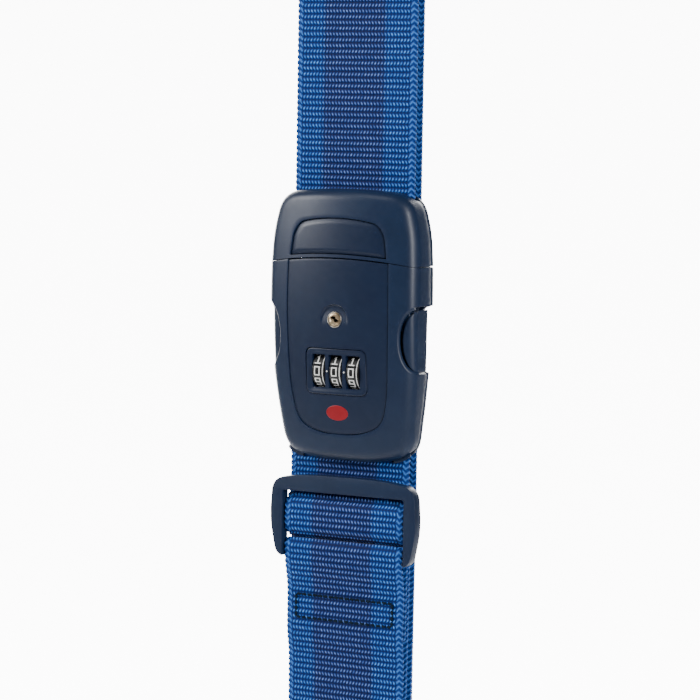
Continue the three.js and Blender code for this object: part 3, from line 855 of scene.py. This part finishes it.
def make_dials():
    for i, body in enumerate(("first_dial", "second_dial", "third_dial")):
        x0 = (i - 1) * DIAL_PITCH
        half = DIAL_W / 2
        left = [(-half, DIAL_BORE), (-half, DIAL_R - 0.4), (-half + 0.12, DIAL_R - 0.12),
                (-half + 0.4, DIAL_R), (-half + 0.5, DIAL_R)]
        profile = left + [(-x, r) for x, r in reversed(left)]
        verts = []
        turns = 200
        for k in range(turns):
            t = 2 * math.pi * k / turns
            part = (k / turns * 10) % 1 - 0.5  # ten numbers, with a groove half way between two
            groove = 0.3 * math.exp(-(part / 0.05) ** 2)
            for x, r in profile:
                deep = r - (groove if r > DIAL_R - 0.5 else 0)
                verts.append((x0 + x, DIAL_Y - deep * math.cos(t), DIAL_Z + deep * math.sin(t)))
        faces = columns_to_faces(len(profile), turns, ring=True)
        wheel = sharp_by_angle(new_object(f"dial_{i + 1}", verts, faces, BLACK), 50)
        place(wheel, body, "black_plastic", f"number_dial_{i + 1}")
        place(make_numbers(f"dial_numbers_{i + 1}", x0), body, "black_plastic")


def make_numbers(name, x0):
    """White digits and a white rim line, standing a little proud of a dial."""
    verts, faces = [], []
    wide, high, proud = 0.95, 0.74, 0.07  # a digit's half width and quarter height; its relief

    def bar(x_a, z_a, x_b, z_b, middle, w=0.2):
        along = Vector((x_b - x_a, z_b - z_a))
        length = along.length
        along = along.normalized()
        side = Vector((-along.y, along.x)) * w
        steps = max(int(abs(z_b - z_a) / 0.35), 1)
        base = len(verts)
        for k in range(steps + 1):
            t = -w / length + (1 + 2 * w / length) * k / steps
            here = Vector((x_a, z_a)) + along * length * t
            for s, r in ((-1, DIAL_R - 0.05), (-1, DIAL_R + proud), (1, DIAL_R + proud), (1, DIAL_R - 0.05)):
                p = here + side * s
                turn = middle + p.y / DIAL_R
                x = x0 - 0.35 + p.x  # a little left of the middle, which leaves room for the rim line
                verts.append((x, DIAL_Y - r * math.cos(turn), DIAL_Z + r * math.sin(turn)))
        for k in range(steps):
            for j in range(4):
                a, b = base + 4 * k + j, base + 4 * k + (j + 1) % 4
                faces.append((a, b, b + 4, a + 4))
        faces.append(tuple(base + j for j in range(4)))
        faces.append(tuple(base + 4 * steps + j for j in reversed(range(4))))

    for digit, strokes in enumerate(DIGITS):
        middle = math.radians(36 * digit)
        for s in strokes:
            x_a, z_a, x_b, z_b = SEGMENTS[s]
            bar(x_a * wide, z_a * high, x_b * wide, z_b * high, middle)
        for k in range(6):
            low = -2.05 + 0.69 * k
            bar(2.3, low, 2.3, low + 0.5, middle, 0.13)
    return sharp_by_angle(new_object(name, verts, faces, PAINT), 40)


def lathe_y(name, profile, material, count=72):
    """A turned piece about the key's axis; the profile lists (radius, y)."""
    verts = []
    for k in range(count):
        t = 2 * math.pi * k / count
        for r, y in profile:
            verts.append((r * math.cos(t), y, KEY_Z + r * math.sin(t)))
    return sharp_by_angle(new_object(name, verts, columns_to_faces(len(profile), count), material), 40)


def make_key():
    ring = lathe_y("key_ring", [(KEY_R + 0.12, -10.2), (KEY_R + 0.12, -17.6), (KEY_R + 0.2, -18.0),
                                (KEY_R + 0.35, -18.12), (KEY_RING - 0.3, -18.0), (KEY_RING - 0.1, -17.7),
                                (KEY_RING - 0.1, -10.2), (KEY_R + 0.12, -10.2)], STEEL)
    place(ring, "lock", "steel", "key_cylinder_housing")
    core = lathe_y("key_core", [(0.0, -11.8), (KEY_R, -11.8), (KEY_R, -17.9), (KEY_R - 0.12, -18.12),
                                (KEY_R - 0.5, -18.2), (KEY_R - 0.75, -18.0), (KEY_R - 0.9, -17.85),
                                (0.6, -17.8), (0.0, -17.8)], BRASS)
    keyway = [(-1.5, 1.1), (0.2, 1.1), (0.55, 0.3), (1.5, -0.1),
              (1.5, -1.0), (-0.1, -0.9), (-0.5, 0.1), (-1.5, 0.35)]
    line = [Vector((x * KEYWAY_SIZE, KEY_Z + z * KEYWAY_SIZE)) for x, z in keyway]
    subtract(core, prism(line, FAR_FRONT, KEYWAY_END))
    place(sharp_by_angle(core, 40), "key_core", "steel", "key_cylinder")
    # painted shade: a near-black sheet at the keyway's bottom, where the hole lies only in shade
    place(prism(line, KEYWAY_END - 0.6, KEYWAY_END, "keyway_floor", KEYWAY_SHADE), "key_core", "steel")


LEG = ((21.5, 34.4, 0.5), (27.4, 34.4, 0.5), (28, 6, 2), (25.5, -2, 1))  # outline of the arm above its pad


def make_arms():
    for name, side in (("left", -1), ("right", 1)):
        outline = [p for p in ellipse(side * RECESS_X, RECESS_Z - 0.5, RECESS_A - 1.4, RECESS_B - 1.1, 120)
                   if abs(p.x) <= PAD_END and p.y <= PAD_TOP]
        outline.append(Vector((side * PAD_END, PAD_TOP)))
        middle = Vector((side * 27.5, 3))
        outline.sort(key=lambda p: -math.atan2(p.y - middle.y, p.x - middle.x))
        line = even(rounded([(p.x, p.y, 0.5) for p in outline], 2), 0.45)
        edge = distance_to([Vector((side * PAD_END, z)) for z in (-20, 30)])

        def pad_y(x, z):
            return crown(x, z) + 1.5 + fillet(edge(x, z), 2.6)

        pad = plate(f"{name}_pad", line, pad_y, lambda x, z: -2.0, 0.6, NAVY, rings=10)
        place(pad, f"{name}_arm", "navy_plastic")
        leg = rounded([(side * x, z, r) for x, z, r in LEG])
        if side < 0:
            leg.reverse()
        bar = plate(f"{name}_leg", even(leg, 0.6), lambda x, z: -12, lambda x, z: -4.6, 0.5, NAVY)
        place(bar, f"{name}_arm", "navy_plastic", f"release_arm_{name}")


def make_slider_and_backs():
    body = rounded_copy("slider_body", "slider_frame", 0.9, NAVY, 4)
    place(body, "slider", "navy_plastic", "slider_frame")
    for part in ("lock", "plug"):
        back = rounded_copy(f"{part}_back_plate", f"{part}_rear_cover", 0.5, NAVY)
        place(back, part, "navy_plastic", f"{part}_rear_cover")


make_case()
make_panel()
make_bezel()
make_dials()
make_key()
make_arms()
make_slider_and_backs()

# pieces inside the buckle keep the frame's shapes and take these finishes
KEEP = {"plug_tongue": NAVY, "dial_carrier": BLACK}
KEEP.update(dict.fromkeys(("lock_screw", "plug_screw", "dial_axle", "dial_sleeve", "dial_spring", "latch",
                           "lock_web_bar", "plug_web_bar"), STEEL))
for piece in bpy.data.objects:
    for start, material in KEEP.items():
        if piece.type == "MESH" and piece.name.startswith(start) and piece.material_slots:
            piece.material_slots[0].material = material
make_webbing()
make_stitching()

# ---- light, floor and camera ----
WORLD, BACKDROP, BACKDROP_AWAY = 0.15, 10.0, 2.6  # two strengths, and the backdrop's distance in metres
LAMPS = (  # name, place, width, height, power
    ("upper_left_softbox", (-1.0, -0.72, 0.5), 0.6, 0.6, 23),
    ("right_strip", (1.05, -0.5, 0.3), 0.05, 0.8, 17),
    ("front_top_fill", (-0.3, -0.8, 1.4), 0.7, 0.7, 6),
)


def stage_plane(name, size, location, rotation=(0, 0, 0), glow=0.0):
    bpy.ops.mesh.primitive_plane_add(size=size, location=location, rotation=rotation)
    plane = bpy.context.object
    plane.name = name
    n = Nodes(name, (0.9, 0.9, 0.9), 0.9, Emission_Strength=glow)
    n.set(n.shader, "Emission Color", (1, 1, 1, 1))
    plane.data.materials.append(n.material)


def make_stage():
    stage_plane("pale_floor", 12, (0, 0, -0.8))
    world = bpy.data.worlds.new("studio")
    world.use_nodes = True
    world.node_tree.nodes["Background"].inputs["Color"].default_value = (1, 1, 1, 1)
    world.node_tree.nodes["Background"].inputs["Strength"].default_value = WORLD
    bpy.context.scene.world = world
    turn = math.radians(CAMERA["azimuth"])
    behind = (-BACKDROP_AWAY * math.sin(turn), BACKDROP_AWAY * math.cos(turn), 0)
    stage_plane("pale_backdrop", 3.4, behind, (math.pi / 2, 0, turn), BACKDROP)
    for name, place_at, wide, high, power in LAMPS:
        data = bpy.data.lights.new(name, "AREA")
        data.shape = "RECTANGLE"
        data.size, data.size_y = wide, high
        data.energy = power
        lamp = bpy.data.objects.new(name, data)
        lamp.location = place_at
        lamp.rotation_euler = (-Vector(place_at)).to_track_quat("-Z", "Y").to_euler()
        bpy.context.collection.objects.link(lamp)


CAMERA = {"azimuth": 29.0, "elevation": 5.0, "roll": 0.9, "distance": 1.13, "lens": 156.9}
AIM = Vector((-0.0032, 0.0, -0.0023))  # what it looks at


def make_camera():
    a, e = math.radians(CAMERA["azimuth"]), math.radians(CAMERA["elevation"])
    back = Vector((math.sin(a) * math.cos(e), -math.cos(a) * math.cos(e), math.sin(e)))
    data = bpy.data.cameras.new("camera")
    data.lens = CAMERA["lens"]
    data.sensor_width = 36
    data.clip_end = 50
    camera = bpy.data.objects.new("camera", data)
    turn = back.to_track_quat("Z", "Y").to_matrix().to_4x4()
    roll = Matrix.Rotation(math.radians(CAMERA["roll"]), 4, "Z")
    camera.matrix_world = Matrix.Translation(AIM + back * CAMERA["distance"]) @ turn @ roll
    bpy.context.collection.objects.link(camera)
    bpy.context.scene.camera = camera


make_stage()
make_camera()
bpy.context.view_layer.update()
